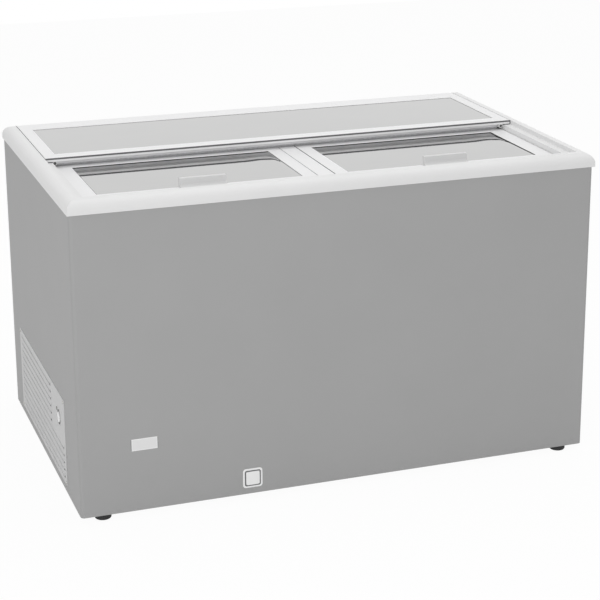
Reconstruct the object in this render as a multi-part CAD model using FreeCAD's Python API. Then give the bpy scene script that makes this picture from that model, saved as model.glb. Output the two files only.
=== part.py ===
import FreeCAD, Part
import math
import os

V = FreeCAD.Vector

# Chest refrigerator with two lids that slide back under a fixed rear cover.
# Origin: middle of the footprint, on the floor. +X right, +Y rear, +Z up.
# All lengths in millimetres.

# Cabinet
cabinet_width = 1380.0
cabinet_depth = 850.0
cabinet_height = 776.0
sheet = 1.0
corner_radius = 10.0
wrap_return = 16.0
base_plate_thickness = 2.0

# Feet
foot_height = 16.0
foot_radius = 21.0
foot_top_radius = 17.0
foot_inset_x = 60.0
foot_inset_y = 26.0
foot_screw_radius = 3.0
foot_screw_head_radius = 6.0
foot_screw_head_height = 4.0
foot_screw_recess = 2.0
foot_screw_length = 16.0

# Collar: the rounded rim round the top of the cabinet
collar_overhang = 4.0
collar_height = 35.0
collar_width = 36.0
collar_round = 26.0
collar_step_drop = 12.0
collar_step_width = 20.0
collar_skirt = 47.0
collar_wall = 3.0

# Mouth of the tank: runners and sills below the lids
ledge_width = 32.0
ledge_height = 15.0

# Lids
lid_drop = 26.0
lid_thickness = 39.0
lid_side_gap = 2.0
lid_front_gap = 6.0
lid_rear_edge = 27.0
lid_lip = 1.4
lid_lip_cover = 4.0
lid_outer_bar = 45.0
lid_inner_bar = 36.5
lid_rear_bar = 36.0
lid_front_bar = 77.0
lid_skin = 1.0
lid_underside = 1.4
pocket_gap = 0.3
glide_width = 16.0
glide_gap = 0.3
glide_recess = 1.5

# Handle on each lid
handle_width = 120.0
handle_thickness = 12.0
handle_below_top = 1.0
handle_foot_depth = 34.0
handle_foot_height = 5.0
handle_sweep = 6.0

# Centre rail between the lids
centre_cap_half = 22.0
centre_cap_thickness = 4.0
centre_web_half = 18.0
centre_ledge_half = 58.0
centre_gap = 2.5

# Cross rail under the front edge of the rear cover
rail_front = 4.5
rail_overhang = 15.0
rail_strip_thickness = 5.4
rail_strip_below_top = 4.3
rail_web_thickness = 4.0
rail_web_height = 8.6
rail_web_inset = 13.5
rail_side_gap = 1.0
rail_end_pad = 1.6
rail_pad_depth = 5.5
brush_gap = 0.8
bracket_boss_radius = 6.0
bracket_boss_length = 13.0
bracket_hole_radius = 2.0
bracket_hole_depth = 6.0

# Fixed rear cover
cover_front = 7.0
cover_rear_inset = 14.0
cover_side_gap = 2.0
cover_front_bar = 41.0
cover_rail_gap = 1.0
cover_rear_bar = 71.0
cover_side_bar = 32.5
cover_lower_drop = 10.0
cover_round = 8.0
cover_gasket_top_gap = 0.3

# Tank and insulation
floor_foam = 58.0
liner_sheet = 1.0
liner_corner = 20.0
liner_flange = 12.0
mouth_margin = 6.0

# Machine compartment, low on the left
compartment_width = 289.0
compartment_height = 272.0
compartment_sheet = 1.0
hump_foam = 54.0

# Side grille, its slots and its dial pocket
grille_from_rear = 102.0
grille_length = 592.0
grille_bottom = 21.0
grille_top = 254.0
grille_thickness = 1.4
grille_lap = 14.0
slot_pitch = 19.7
slot_height = 7.0
slot_rows_short = 6
slot_rows_long = 5
slot_first_below_top = 18.0
slot_rear_margin = 10.0
slot_front_margin_long = 18.0
slot_front_margin_short = 168.0
louvre_depth = 2.2
louvre_height = 6.0
grille_screw_radius = 2.0
grille_screw_head_radius = 4.0
grille_screw_length = 8.0
grille_screw_inset = 7.0

# Temperature dial
dial_from_grille_front = 69.0
dial_height = 185.0
dial_radius = 14.0
dial_pocket_radius = 19.0
dial_pocket_depth = 12.0
dial_pocket_wall = 1.2
dial_shaft_radius = 3.0
dial_shaft_clearance = 0.05
dial_proud = 1.4
dial_chamfer = 1.0
pointer_height = 0.8
pointer_width = 2.0
dial_running_gap = 0.6
dial_shaft_grip = 8.0
thermostat_size = 38.0
thermostat_depth = 26.0
lamp_radius = 4.0
lamp_offset_y = 24.0
lamp_offset_z = 15.0
lamp_length = 12.0
lamp_proud = 1.4
lamp_rim = 1.0

# Front plate and drain
badge_from_side = 165.0
badge_z = 176.5
badge_width = 66.0
badge_height = 31.0
badge_thickness = 1.2
badge_corner = 3.0
drain_from_hump = 99.0
drain_z = 43.0
bezel_size = 52.0
bezel_corner = 8.0
bezel_thickness = 2.0
drain_cap_size = 36.0
drain_cap_corner = 5.0
drain_cap_proud = 3.5
drain_cap_gap = 0.4
drain_plug_length = 22.0
drain_plug_clearance = 0.5
drain_plug_wall = 1.6
drain_pipe_radius = 12.0
drain_pipe_bore = 10.0
drain_from_tank_front = 70.0
strainer_radius = 22.0
strainer_thickness = 1.5
strainer_neck = 9.6
strainer_neck_length = 8.0
strainer_hole_radius = 2.0
strainer_ring_radius = 6.0
strainer_holes = 6

# Refrigeration machine
compressor_from_side = 169.0
compressor_from_rear = 124.0
compressor_radius = 68.0
compressor_height = 168.0
compressor_lift = 18.0
compressor_dome = 30.0
grommet_radius = 11.0
grommet_spacing = 150.0
compressor_foot_thickness = 3.0
terminal_depth = 34.0
terminal_offset = 32.0
terminal_width = 58.0
terminal_height = 64.0
terminal_lift = 60.0
terminal_seat = 6.0
condenser_from_side = 17.0
condenser_depth = 44.0
condenser_from_rear = 379.0
condenser_width = 300.0
condenser_height = 205.0
condenser_lift = 10.0
condenser_plate = 2.0
fin_count = 18
fin_thickness = 1.2
fin_inset = 3.0
condenser_tube_radius = 4.0
condenser_tube_rows = 4
fan_from_condenser = 22.0
fan_radius = 88.0
fan_hub_radius = 20.0
fan_hub_length = 18.0
fan_blades = 5
fan_pitch_deg = 32.0
fan_chord = 54.0
fan_blade_thickness = 1.6
fan_blade_root = 3.0
fan_blade_inset = 2.0
fan_shaft_radius = 3.0
fan_shaft_clearance = 0.05
motor_radius = 34.0
motor_length = 46.0
motor_gap = 3.0
motor_bracket_thickness = 3.0
motor_bracket_width = 40.0

# Refrigerant tubes
tube_radius = 4.0
tube_bend = 12.0
discharge_bend = 6.0
coil_pitch = 68.0
coil_below_rim = 70.0
coil_above_hump = 56.0
coil_gap_half = 40.0
coil_seat_gap = 0.3
liquid_line_reach = 34.0
liquid_line_gap = 46.0
suction_line_gap = 60.0
line_above_compartment = 18.0
line_join_half = 10.0

# Cable gland in the rear sheet
gland_from_side = 89.0
gland_z = 70.0
gland_radius = 12.0
gland_flange_radius = 17.0
gland_flange = 3.0
gland_bore = 4.5
gland_length = 14.0

# Places worked out from the sizes above

half_w = cabinet_width / 2
half_d = cabinet_depth / 2
z_base = foot_height
z_shell_top = z_base + cabinet_height
z_top = z_shell_top + collar_height
z_floor_plate = z_base + base_plate_thickness

collar_x = half_w + collar_overhang
collar_y = half_d + collar_overhang
rim_x = collar_x - collar_width
rim_y = collar_y - collar_width
z_step = z_top - collar_step_drop
well_x = rim_x - collar_step_width
well_y = rim_y - collar_step_width
z_skirt = z_shell_top - collar_skirt
inside_x = half_w - sheet
inside_y = half_d - sheet

z_ledge = z_skirt + ledge_height
mouth_x = well_x - ledge_width
mouth_y = well_y - ledge_width

z_lid = z_top - lid_drop
z_lid_bottom = z_lid - lid_thickness
lid_front = -(well_y - lid_front_gap)
lid_outer_x = well_x - lid_side_gap
lid_inner_x = centre_cap_half + centre_gap

rail_z = z_top - rail_strip_below_top
z_cover_bottom = z_step - cover_lower_drop

tank_x = mouth_x - mouth_margin
tank_y = mouth_y - mouth_margin
z_tank = z_floor_plate + floor_foam
compartment_x = -inside_x + compartment_width
z_compartment = z_floor_plate + compartment_height
hump_x = compartment_x + hump_foam
z_hump = z_compartment + hump_foam

drain_height = z_base + drain_z
drain_x = hump_x + drain_from_hump
drain_inlet_y = -tank_y + drain_from_tank_front
badge_x = -half_w + badge_from_side

side_face = -half_w
grille_face = side_face - grille_thickness
grille_rear = half_d - grille_from_rear
grille_front = grille_rear - grille_length
dial_y = grille_front + dial_from_grille_front
dial_z = z_base + dial_height

compressor_x = -inside_x + compressor_from_side
compressor_y = inside_y - compressor_from_rear
condenser_x = -inside_x + condenser_from_side
condenser_y = inside_y - condenser_from_rear
fan_x = condenser_x + condenser_depth + fan_from_condenser
gland_x = -inside_x + gland_from_side


# Shape helpers

def box(x0, x1, y0, y1, z0, z1):
    return Part.makeBox(x1 - x0, y1 - y0, z1 - z0, V(x0, y0, z0))


def rod_x(x0, x1, y, z, radius):
    return Part.makeCylinder(radius, x1 - x0, V(x0, y, z), V(1, 0, 0))


def rod_y(y0, y1, x, z, radius):
    return Part.makeCylinder(radius, y1 - y0, V(x, y0, z), V(0, 1, 0))


def rod_z(z0, z1, x, y, radius):
    return Part.makeCylinder(radius, z1 - z0, V(x, y, z0), V(0, 0, 1))


def edges_along(shape, axis):
    found = []
    for edge in shape.Edges:
        if edge.Curve.TypeId != "Part::GeomLine":
            continue
        direction = edge.tangentAt(edge.FirstParameter)
        if abs(direction.dot(axis)) > 0.999:
            found.append(edge)
    return found


def rounded_box(x0, x1, y0, y1, z0, z1, radius, axis):
    block = box(x0, x1, y0, y1, z0, z1)
    return block.makeFillet(radius, edges_along(block, axis))


def prism_z(points, z0, z1):
    corners = [V(x, y, z0) for x, y in points]
    face = Part.Face(Part.makePolygon(corners + corners[:1]))
    return face.extrude(V(0, 0, z1 - z0))


def tube_path(points, bend):
    corners = [V(*point) for point in points]
    pieces = []
    start = corners[0]
    for before, corner, after in zip(corners, corners[1:], corners[2:]):
        into = (corner - before).normalize()
        out = (after - corner).normalize()
        turn = math.acos(into.dot(out))
        reach = bend * math.tan(turn / 2)
        arc_start = corner - into * reach
        arc_end = corner + out * reach
        inward = (out - into).normalize()
        arc_middle = corner + inward * (bend / math.cos(turn / 2) - bend)
        pieces.append(Part.LineSegment(start, arc_start).toShape())
        pieces.append(Part.Arc(arc_start, arc_middle, arc_end).toShape())
        start = arc_end
    pieces.append(Part.LineSegment(start, corners[-1]).toShape())
    return Part.Wire(pieces)


def tube(points, radius, bend):
    path = tube_path(points, bend)
    start = V(*points[0])
    direction = V(*points[1]) - start
    ring = Part.Wire([Part.makeCircle(radius, start, direction)])
    return path.makePipeShell([ring], True, True)


def save(name, shape):
    if isinstance(shape, list):
        shape = Part.makeCompound(shape)
    shape.exportStep("parts/" + name + ".step")


# Cabinet sheets, base plate and feet

def between_sheets(x0, x1, z0, z1):
    block = box(x0, x1, -inside_y, inside_y, z0, z1)
    corners = [edge for edge in edges_along(block, V(0, 0, 1))
               if edge.BoundBox.YMax < 0 and abs(edge.BoundBox.XMin) > inside_x - 0.1]
    return block.makeFillet(corner_radius - sheet, corners)


def front_panel():
    outer = rounded_box(-half_w, half_w, -half_d, half_d, z_base, z_shell_top, corner_radius, V(0, 0, 1))
    inner = rounded_box(-inside_x, inside_x, -inside_y, inside_y, z_base, z_shell_top,
                        corner_radius - sheet, V(0, 0, 1))
    behind = box(-half_w, half_w, -half_d + wrap_return, half_d, z_base, z_shell_top)
    drain_hole = rod_y(-half_d, -inside_y, drain_x, drain_height, drain_pipe_radius)
    return outer.cut(inner).cut(behind).cut(drain_hole)


def side_panel(side):
    x0, x1 = sorted((side * half_w, side * inside_x))
    return box(x0, x1, -half_d + wrap_return, half_d, z_base, z_shell_top)


def left_side_panel():
    window = box(-half_w, -inside_x, grille_front + grille_lap, grille_rear - grille_lap,
                 z_base + grille_bottom + grille_lap, z_base + grille_top - grille_lap)
    return side_panel(-1).cut(window).cut(grille_screw_shafts())


def rear_sheet():
    plate = box(-inside_x, inside_x, inside_y, half_d, z_base, z_shell_top)
    return plate.cut(rod_y(inside_y, half_d, gland_x, z_base + gland_z, gland_radius))


def foot_places():
    x = half_w - foot_inset_x
    y = half_d - foot_inset_y
    return {"front_left": (-x, -y), "front_right": (x, -y), "rear_left": (-x, y), "rear_right": (x, y)}


def base_plate():
    plate = between_sheets(-inside_x, inside_x, z_base, z_floor_plate)
    for x, y in foot_places().values():
        plate = plate.cut(rod_z(z_base, z_floor_plate, x, y, foot_screw_radius))
    return plate


def foot(x, y):
    block = rod_z(0, foot_height, x, y, foot_radius)
    lower_rim = [edge for edge in block.Edges if edge.BoundBox.ZMax < 0.1]
    block = block.makeFillet(foot_radius - foot_top_radius, lower_rim)
    z_head = foot_screw_recess + foot_screw_head_height
    recess = rod_z(0, z_head, x, y, foot_screw_head_radius)
    shaft = rod_z(0, foot_height, x, y, foot_screw_radius)
    return block.cut(recess).cut(shaft)


def foot_screw(x, y):
    z_head = foot_screw_recess + foot_screw_head_height
    head = rod_z(foot_screw_recess, z_head, x, y, foot_screw_head_radius)
    return head.fuse(rod_z(z_head, z_head + foot_screw_length, x, y, foot_screw_radius))


# Collar: one hollow profile all round, mitred at the front corners

def collar_ring(inset):
    x = collar_x - inset
    y = collar_y - inset
    upper = box(-x, x, -y, y, z_shell_top + inset, z_top - inset)
    top_edges = [edge for edge in upper.Edges if edge.BoundBox.ZMin > z_top - inset - 0.1]
    upper = upper.makeFillet(collar_round - inset, top_edges)
    lower_x = inside_x - inset
    lower_y = inside_y - inset
    lower = rounded_box(-lower_x, lower_x, -lower_y, lower_y, z_skirt + inset, z_shell_top + inset,
                        corner_radius - sheet, V(0, 0, 1))
    ring = upper.fuse(lower)
    above_step = box(-rim_x - inset, rim_x + inset, -rim_y - inset, collar_y + inset,
                     z_step - inset, z_top)
    well = box(-well_x - inset, well_x + inset, -well_y - inset, well_y + inset, z_skirt, z_top)
    return ring.cut(above_step).cut(well)


def collar_parts():
    ring = collar_ring(0).cut(collar_ring(collar_wall))
    reach = collar_y + collar_wall
    diagonal = rim_x - rim_y
    near = well_y - collar_wall
    front_zone = prism_z([(-diagonal - reach, -reach), (diagonal + reach, -reach),
                          (diagonal + near, -near), (-diagonal - near, -near)], z_skirt, z_top)
    rear_zone = box(-well_x, well_x, near, reach, z_skirt, z_top)
    front = ring.common(front_zone)
    rear = ring.common(rear_zone)
    sides = ring.cut(front_zone).cut(rear_zone)
    left = sides.common(box(-collar_x, 0, -reach, reach, z_skirt, z_top))
    right = sides.common(box(0, collar_x, -reach, reach, z_skirt, z_top))
    return {"collar_front": front, "collar_rear": rear, "collar_left": left, "collar_right": right}


def runner(side):
    x0, x1 = sorted((side * mouth_x, side * well_x))
    return box(x0, x1, -mouth_y, mouth_y, z_skirt, z_ledge)


def mouth_sills():
    front = box(-well_x, well_x, -well_y, -mouth_y, z_skirt, z_ledge)
    rear = box(-well_x, well_x, mouth_y, well_y, z_skirt, z_ledge)
    return [front, rear]


def centre_rail():
    ledges = box(-centre_ledge_half, centre_ledge_half, -mouth_y, mouth_y, z_skirt, z_ledge)
    web = box(-centre_web_half, centre_web_half, -well_y, well_y, z_ledge, z_lid - centre_cap_thickness)
    cap = box(-centre_cap_half, centre_cap_half, -well_y, well_y, z_lid - centre_cap_thickness, z_lid)
    return ledges.fuse(web).fuse(cap).removeSplitter()


# Cross rail, its brush and its end brackets

rail_rear = rail_front + rail_overhang + rail_web_thickness
rail_end = rim_x - rail_side_gap
web_end = well_x - rail_web_inset
z_strip = rail_z - rail_strip_thickness
z_web = z_strip - rail_web_height


def cross_rail():
    end = rail_end - rail_end_pad
    strip = box(-end, end, rail_front, rail_rear, z_strip, rail_z)
    web = box(-web_end, web_end, rail_rear - rail_web_thickness, rail_rear, z_web, z_strip)
    return strip.fuse(web).removeSplitter()


def rail_brush():
    return box(-web_end, web_end, rail_rear - rail_web_thickness, rail_rear, z_lid + brush_gap, z_web)


def rail_bracket(side):
    front = rail_rear - bracket_boss_length
    boss_x = side * (well_x - rail_side_gap - bracket_boss_radius)
    boss_z = z_strip - bracket_boss_radius
    boss = rod_y(front, rail_rear, boss_x, boss_z, bracket_boss_radius)
    x0, x1 = sorted((boss_x, side * rail_end))
    pad = box(x0, x1, front, rail_rear, z_step, z_strip)
    hole = rod_y(front, front + bracket_hole_depth, boss_x, boss_z, bracket_hole_radius)
    return boss.fuse(pad).cut(hole).removeSplitter()


# Fixed rear cover

cover_x = rim_x - cover_side_gap
cover_rear = collar_y - cover_rear_inset
cover_window = (-cover_x + cover_side_bar, cover_x - cover_side_bar,
                cover_front + cover_front_bar, cover_rear - cover_rear_bar)


def grown(window, by):
    x0, x1, y0, y1 = window
    return x0 - by, x1 + by, y0 - by, y1 + by


def cover_frame():
    behind_rail = rail_rear + cover_rail_gap
    upper = box(-cover_x, cover_x, cover_front, cover_rear, z_step, z_top)
    rear_top = [edge for edge in upper.Edges
                if edge.BoundBox.ZMin > z_top - 0.1 and edge.BoundBox.YMin > cover_rear - 0.1]
    upper = upper.makeFillet(cover_round, rear_top)
    upper = upper.cut(box(-cover_x, cover_x, cover_front, behind_rail, z_step, rail_z))
    lower_x = well_x - lid_side_gap
    lower = box(-lower_x, lower_x, behind_rail, well_y - lid_side_gap, z_cover_bottom, z_step)
    pocket = box(*grown(cover_window, lid_lip_cover), z_cover_bottom, z_top - lid_lip)
    window = box(*cover_window, z_top - lid_lip, z_top)
    return upper.fuse(lower).cut(pocket).cut(window).removeSplitter()


def cover_skin():
    z1 = z_top - lid_lip
    return box(*grown(cover_window, lid_lip_cover - pocket_gap), z1 - lid_skin, z1)


def cover_core():
    z1 = z_top - lid_lip - lid_skin
    return box(*grown(cover_window, lid_lip_cover - pocket_gap), z_cover_bottom + lid_underside, z1)


def cover_underside():
    return box(*grown(cover_window, lid_lip_cover - pocket_gap), z_cover_bottom,
               z_cover_bottom + lid_underside)


def cover_gasket():
    gasket = box(-rail_end, rail_end, rail_front, cover_front, rail_z, z_top - cover_gasket_top_gap)
    pad_rear = rail_front + rail_pad_depth
    for side in (-1, 1):
        x0, x1 = sorted((side * (rail_end - rail_end_pad), side * rail_end))
        gasket = gasket.fuse(box(x0, x1, rail_front, pad_rear, z_step, rail_z))
        x0, x1 = sorted((side * well_x, side * rail_end))
        gasket = gasket.fuse(box(x0, x1, rail_front, pad_rear, z_step, z_strip))
    return gasket.removeSplitter()


# Sliding lids

def lid_span(side):
    return sorted((side * lid_inner_x, side * lid_outer_x))


def lid_window(side):
    x0, x1 = sorted((side * (lid_inner_x + lid_inner_bar), side * (lid_outer_x - lid_outer_bar)))
    return x0, x1, lid_front + lid_front_bar, lid_rear_edge - lid_rear_bar


def glide_spans(side):
    outer = sorted((side * (lid_outer_x - glide_width), side * lid_outer_x))
    inner = sorted((side * lid_inner_x, side * (lid_inner_x + glide_width)))
    return outer, inner


def lid_glides(side):
    z0 = z_ledge + glide_gap
    strips = []
    for x0, x1 in glide_spans(side):
        strips.append(box(x0, x1, lid_front, lid_rear_edge, z0, z_lid_bottom + glide_recess))
    return strips


def lid_frame(side):
    x0, x1 = lid_span(side)
    block = box(x0, x1, lid_front, lid_rear_edge, z_lid_bottom, z_lid)
    window = lid_window(side)
    block = block.cut(box(*grown(window, lid_lip_cover), z_lid_bottom, z_lid - lid_lip))
    block = block.cut(box(*window, z_lid - lid_lip, z_lid))
    for strip in lid_glides(side):
        block = block.cut(strip)
    return block


def lid_skin_sheet(side):
    z1 = z_lid - lid_lip
    return box(*grown(lid_window(side), lid_lip_cover - pocket_gap), z1 - lid_skin, z1)


def lid_core(side):
    z1 = z_lid - lid_lip - lid_skin
    return box(*grown(lid_window(side), lid_lip_cover - pocket_gap), z_lid_bottom + lid_underside, z1)


def lid_underside_sheet(side):
    z0 = z_lid_bottom
    return box(*grown(lid_window(side), lid_lip_cover - pocket_gap), z0, z0 + lid_underside)


def lid_handle(side):
    centre = side * (lid_inner_x + lid_inner_bar + lid_outer_x - lid_outer_bar) / 2
    x0 = centre - handle_width / 2
    x1 = centre + handle_width / 2
    rear = lid_front + lid_front_bar
    front = rear - handle_thickness
    foot_front = rear - handle_foot_depth
    z1 = z_top - handle_below_top
    z_toe = z_lid + handle_foot_height
    slope = 1 - math.sqrt(0.5)
    points = [V(x0, foot_front, z_lid), V(x0, foot_front, z_toe), V(x0, front - handle_sweep, z_toe),
              V(x0, front, z_toe + handle_sweep), V(x0, front, z1), V(x0, rear, z1), V(x0, rear, z_lid)]
    bend = Part.Arc(points[2], V(x0, front - handle_sweep * slope, z_toe + handle_sweep * slope), points[3])
    edges = [Part.LineSegment(points[0], points[1]).toShape(),
             Part.LineSegment(points[1], points[2]).toShape(),
             bend.toShape()]
    for a, b in zip(points[3:], points[4:] + points[:1]):
        edges.append(Part.LineSegment(a, b).toShape())
    return Part.Face(Part.Wire(edges)).extrude(V(x1 - x0, 0, 0))


# Tank, machine compartment and insulation

def tank_space(grow):
    x = tank_x + grow
    y = tank_y + grow
    z0 = z_tank - grow
    z1 = z_hump - grow
    block = rounded_box(-x, x, -y, y, z0, z_skirt, liner_corner + grow, V(0, 0, 1))
    hump = box(-x, hump_x - grow, -y, y, z0, z1)
    return block.cut(hump)


def tank_liner():
    flange = box(-tank_x - liner_flange, tank_x + liner_flange, -tank_y - liner_flange,
                 tank_y + liner_flange, z_skirt - liner_sheet, z_skirt)
    drain_hole = rod_z(z_tank - liner_sheet, z_tank, drain_x, drain_inlet_y, drain_pipe_bore)
    return tank_space(liner_sheet).fuse(flange).cut(tank_space(0)).cut(drain_hole)


def compartment_wall():
    outer = between_sheets(-inside_x, compartment_x, z_floor_plate, z_compartment)
    inner = box(-inside_x, compartment_x - compartment_sheet, -inside_y, inside_y, z_floor_plate,
                z_compartment - compartment_sheet)
    wall = outer.cut(inner)
    for line in tube_lines():
        wall = wall.cut(line)
    return wall


def insulation_foam():
    foam = between_sheets(-inside_x, inside_x, z_floor_plate, z_skirt)
    foam = foam.cut(box(-inside_x, compartment_x, -inside_y, inside_y, z_floor_plate, z_compartment))
    foam = foam.cut(tank_space(liner_sheet))
    foam = foam.cut(box(-tank_x - liner_flange, tank_x + liner_flange, -tank_y - liner_flange,
                        tank_y + liner_flange, z_skirt - liner_sheet, z_skirt))
    foam = foam.cut(evaporator_coil())
    for line in tube_lines():
        foam = foam.cut(line)
    foam = foam.cut(drain_outline(drain_pipe_radius))
    for x, y in foot_places().values():
        foam = foam.cut(foot_screw(x, y))
    return foam


coil_offset = liner_sheet + coil_seat_gap + tube_radius
coil_x = tank_x + coil_offset
coil_y = tank_y + coil_offset
coil_low = z_hump + coil_above_hump
coil_pairs = math.floor((z_skirt - coil_below_rim - coil_low) / (2 * coil_pitch))
coil_levels = 2 * coil_pairs + 1
coil_high = coil_low + (coil_levels - 1) * coil_pitch


def evaporator_coil():
    points = []
    for level in range(coil_levels):
        z = coil_low + level * coil_pitch
        loop = [(coil_gap_half, coil_y, z), (coil_x, coil_y, z), (coil_x, -coil_y, z),
                (-coil_x, -coil_y, z), (-coil_x, coil_y, z), (-coil_gap_half, coil_y, z)]
        points += loop if level % 2 == 0 else loop[::-1]
    return tube(points, tube_radius, liner_corner + coil_offset)


# Drain

def drain_outline(radius):
    down = rod_z(drain_height, z_tank - liner_sheet, drain_x, drain_inlet_y, radius)
    along = rod_y(-half_d, drain_inlet_y, drain_x, drain_height, radius)
    elbow = Part.makeSphere(radius, V(drain_x, drain_inlet_y, drain_height))
    return down.fuse(along).fuse(elbow)


def drain_pipe():
    return drain_outline(drain_pipe_radius).cut(drain_outline(drain_pipe_bore))


def drain_strainer():
    plate = rod_z(z_tank, z_tank + strainer_thickness, drain_x, drain_inlet_y, strainer_radius)
    neck = rod_z(z_tank - strainer_neck_length, z_tank, drain_x, drain_inlet_y, strainer_neck)
    bore = rod_z(z_tank - strainer_neck_length, z_tank, drain_x, drain_inlet_y,
                 strainer_neck - strainer_thickness)
    strainer = plate.fuse(neck).cut(bore)
    for i in range(strainer_holes):
        angle = 2 * math.pi * i / strainer_holes
        x = drain_x + strainer_ring_radius * math.cos(angle)
        y = drain_inlet_y + strainer_ring_radius * math.sin(angle)
        strainer = strainer.cut(rod_z(z_tank, z_tank + strainer_thickness, x, y, strainer_hole_radius))
    return strainer


def square_block(size, y0, y1, corner):
    half = size / 2
    return rounded_box(drain_x - half, drain_x + half, y0, y1, drain_height - half, drain_height + half,
                       corner, V(0, 1, 0))


def drain_bezel():
    front = -half_d - bezel_thickness
    plate = square_block(bezel_size, front, -half_d, bezel_corner)
    return plate.cut(square_block(drain_cap_size + 2 * drain_cap_gap, front, -half_d,
                                  drain_cap_corner + drain_cap_gap))


def drain_cap():
    radius = drain_pipe_bore - drain_plug_clearance
    cap = square_block(drain_cap_size, -half_d - drain_cap_proud, -half_d, drain_cap_corner)
    plug = rod_y(-half_d, -half_d + drain_plug_length, drain_x, drain_height, radius)
    bore = rod_y(-half_d, -half_d + drain_plug_length, drain_x, drain_height, radius - drain_plug_wall)
    return cap.fuse(plug).cut(bore)


def badge():
    x0 = badge_x - badge_width / 2
    z0 = z_base + badge_z - badge_height / 2
    return rounded_box(x0, x0 + badge_width, -half_d - badge_thickness, -half_d, z0, z0 + badge_height,
                       badge_corner, V(0, 1, 0))


# Side grille, temperature dial and lamp

def slot_rows():
    rows = []
    for i in range(slot_rows_short + slot_rows_long):
        z = z_base + grille_top - slot_first_below_top - i * slot_pitch
        margin = slot_front_margin_short if i < slot_rows_short else slot_front_margin_long
        rows.append((z, grille_front + margin, grille_rear - slot_rear_margin - grille_lap))
    return rows


def louvre(z, y0, y1):
    z0 = z + slot_height / 2
    points = [V(side_face, y0, z0), V(grille_face - louvre_depth, y0, z0),
              V(grille_face, y0, z0 + louvre_height), V(side_face, y0, z0 + louvre_height)]
    face = Part.Face(Part.makePolygon(points + points[:1]))
    return face.extrude(V(0, y1 - y0, 0))


def grille_screw_places():
    y0 = grille_front + grille_screw_inset
    y1 = grille_rear - grille_screw_inset
    z0 = z_base + grille_bottom + grille_screw_inset
    z1 = z_base + grille_top - grille_screw_inset
    return [(y0, z0), (y0, z1), (y1, z0), (y1, z1)]


def grille_screw_shafts():
    shafts = []
    for y, z in grille_screw_places():
        shafts.append(rod_x(grille_face, side_face + grille_screw_length, y, z, grille_screw_radius))
    return Part.makeCompound(shafts)


def grille_screws():
    screws = []
    for y, z in grille_screw_places():
        head = rod_x(grille_face - grille_screw_radius, grille_face, y, z, grille_screw_head_radius)
        shaft = rod_x(grille_face, side_face + grille_screw_length, y, z, grille_screw_radius)
        screws.append(head.fuse(shaft))
    return screws


pocket_floor = side_face + dial_pocket_depth
lamp_y = dial_y + lamp_offset_y
lamp_z = dial_z + lamp_offset_z


def side_grille():
    plate = box(grille_face, side_face, grille_front, grille_rear,
                z_base + grille_bottom, z_base + grille_top)
    for z, y0, y1 in slot_rows():
        slot = box(grille_face, side_face, y0, y1, z - slot_height / 2, z + slot_height / 2)
        plate = plate.cut(slot).fuse(louvre(z, y0, y1))
    cup = rod_x(side_face, pocket_floor + dial_pocket_wall, dial_y, dial_z,
                dial_pocket_radius + dial_pocket_wall)
    hollow = rod_x(grille_face, pocket_floor, dial_y, dial_z, dial_pocket_radius)
    shaft_hole = rod_x(pocket_floor, pocket_floor + dial_pocket_wall, dial_y, dial_z,
                       dial_shaft_radius + dial_running_gap)
    lamp_hole = rod_x(grille_face, side_face, lamp_y, lamp_z, lamp_radius)
    grille = plate.fuse(cup).cut(hollow).cut(shaft_hole).cut(lamp_hole)
    return grille.cut(grille_screw_shafts()).removeSplitter()


dial_back = pocket_floor - dial_running_gap
dial_front = grille_face - dial_proud


def thermostat_body():
    half = thermostat_size / 2
    x0 = pocket_floor + dial_pocket_wall
    body = box(x0, x0 + thermostat_depth, dial_y - half, dial_y + half, dial_z - half, dial_z + half)
    shaft = rod_x(dial_back - dial_shaft_grip, x0, dial_y, dial_z, dial_shaft_radius)
    return body.fuse(shaft)


def thermostat_knob():
    dial = rod_x(dial_front, dial_back, dial_y, dial_z, dial_radius)
    front_rim = [edge for edge in dial.Edges if edge.BoundBox.XMax < dial_front + 0.1]
    dial = dial.makeChamfer(dial_chamfer, front_rim)
    bore = rod_x(dial_back - dial_shaft_grip - dial_running_gap, dial_back, dial_y, dial_z,
                 dial_shaft_radius + dial_shaft_clearance)
    half = pointer_width / 2
    pointer = box(dial_front - pointer_height, dial_front, dial_y - half, dial_y + half,
                  dial_z, dial_z + dial_radius - pointer_width)
    return dial.cut(bore).fuse(pointer)


def pilot_lamp():
    lens = rod_x(grille_face, side_face + lamp_length, lamp_y, lamp_z, lamp_radius)
    return lens.fuse(rod_x(grille_face - lamp_proud, grille_face, lamp_y, lamp_z, lamp_radius + lamp_rim))


# Refrigeration machine

z_compressor = z_floor_plate + compressor_lift
z_compressor_top = z_compressor + compressor_foot_thickness + compressor_height


def compressor():
    z0 = z_compressor + compressor_foot_thickness
    shell = rod_z(z0, z_compressor_top, compressor_x, compressor_y, compressor_radius)
    top_rim = [edge for edge in shell.Edges if edge.BoundBox.ZMin > z_compressor_top - 0.1]
    shell = shell.makeFillet(compressor_dome, top_rim)
    half = grommet_spacing / 2 + grommet_radius
    feet = box(compressor_x - half, compressor_x + half, compressor_y - half, compressor_y + half,
               z_compressor, z0)
    return feet.fuse(shell)


def compressor_grommets():
    half = grommet_spacing / 2
    grommets = []
    for dx in (-half, half):
        for dy in (-half, half):
            grommets.append(rod_z(z_floor_plate, z_compressor, compressor_x + dx, compressor_y + dy,
                                  grommet_radius))
    return grommets


def terminal_box():
    y1 = compressor_y - compressor_radius + terminal_seat
    z0 = z_compressor + terminal_lift
    x0 = compressor_x + terminal_offset - terminal_width / 2
    block = box(x0, x0 + terminal_width, y1 - terminal_depth, y1, z0, z0 + terminal_height)
    return block.cut(compressor())


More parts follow.
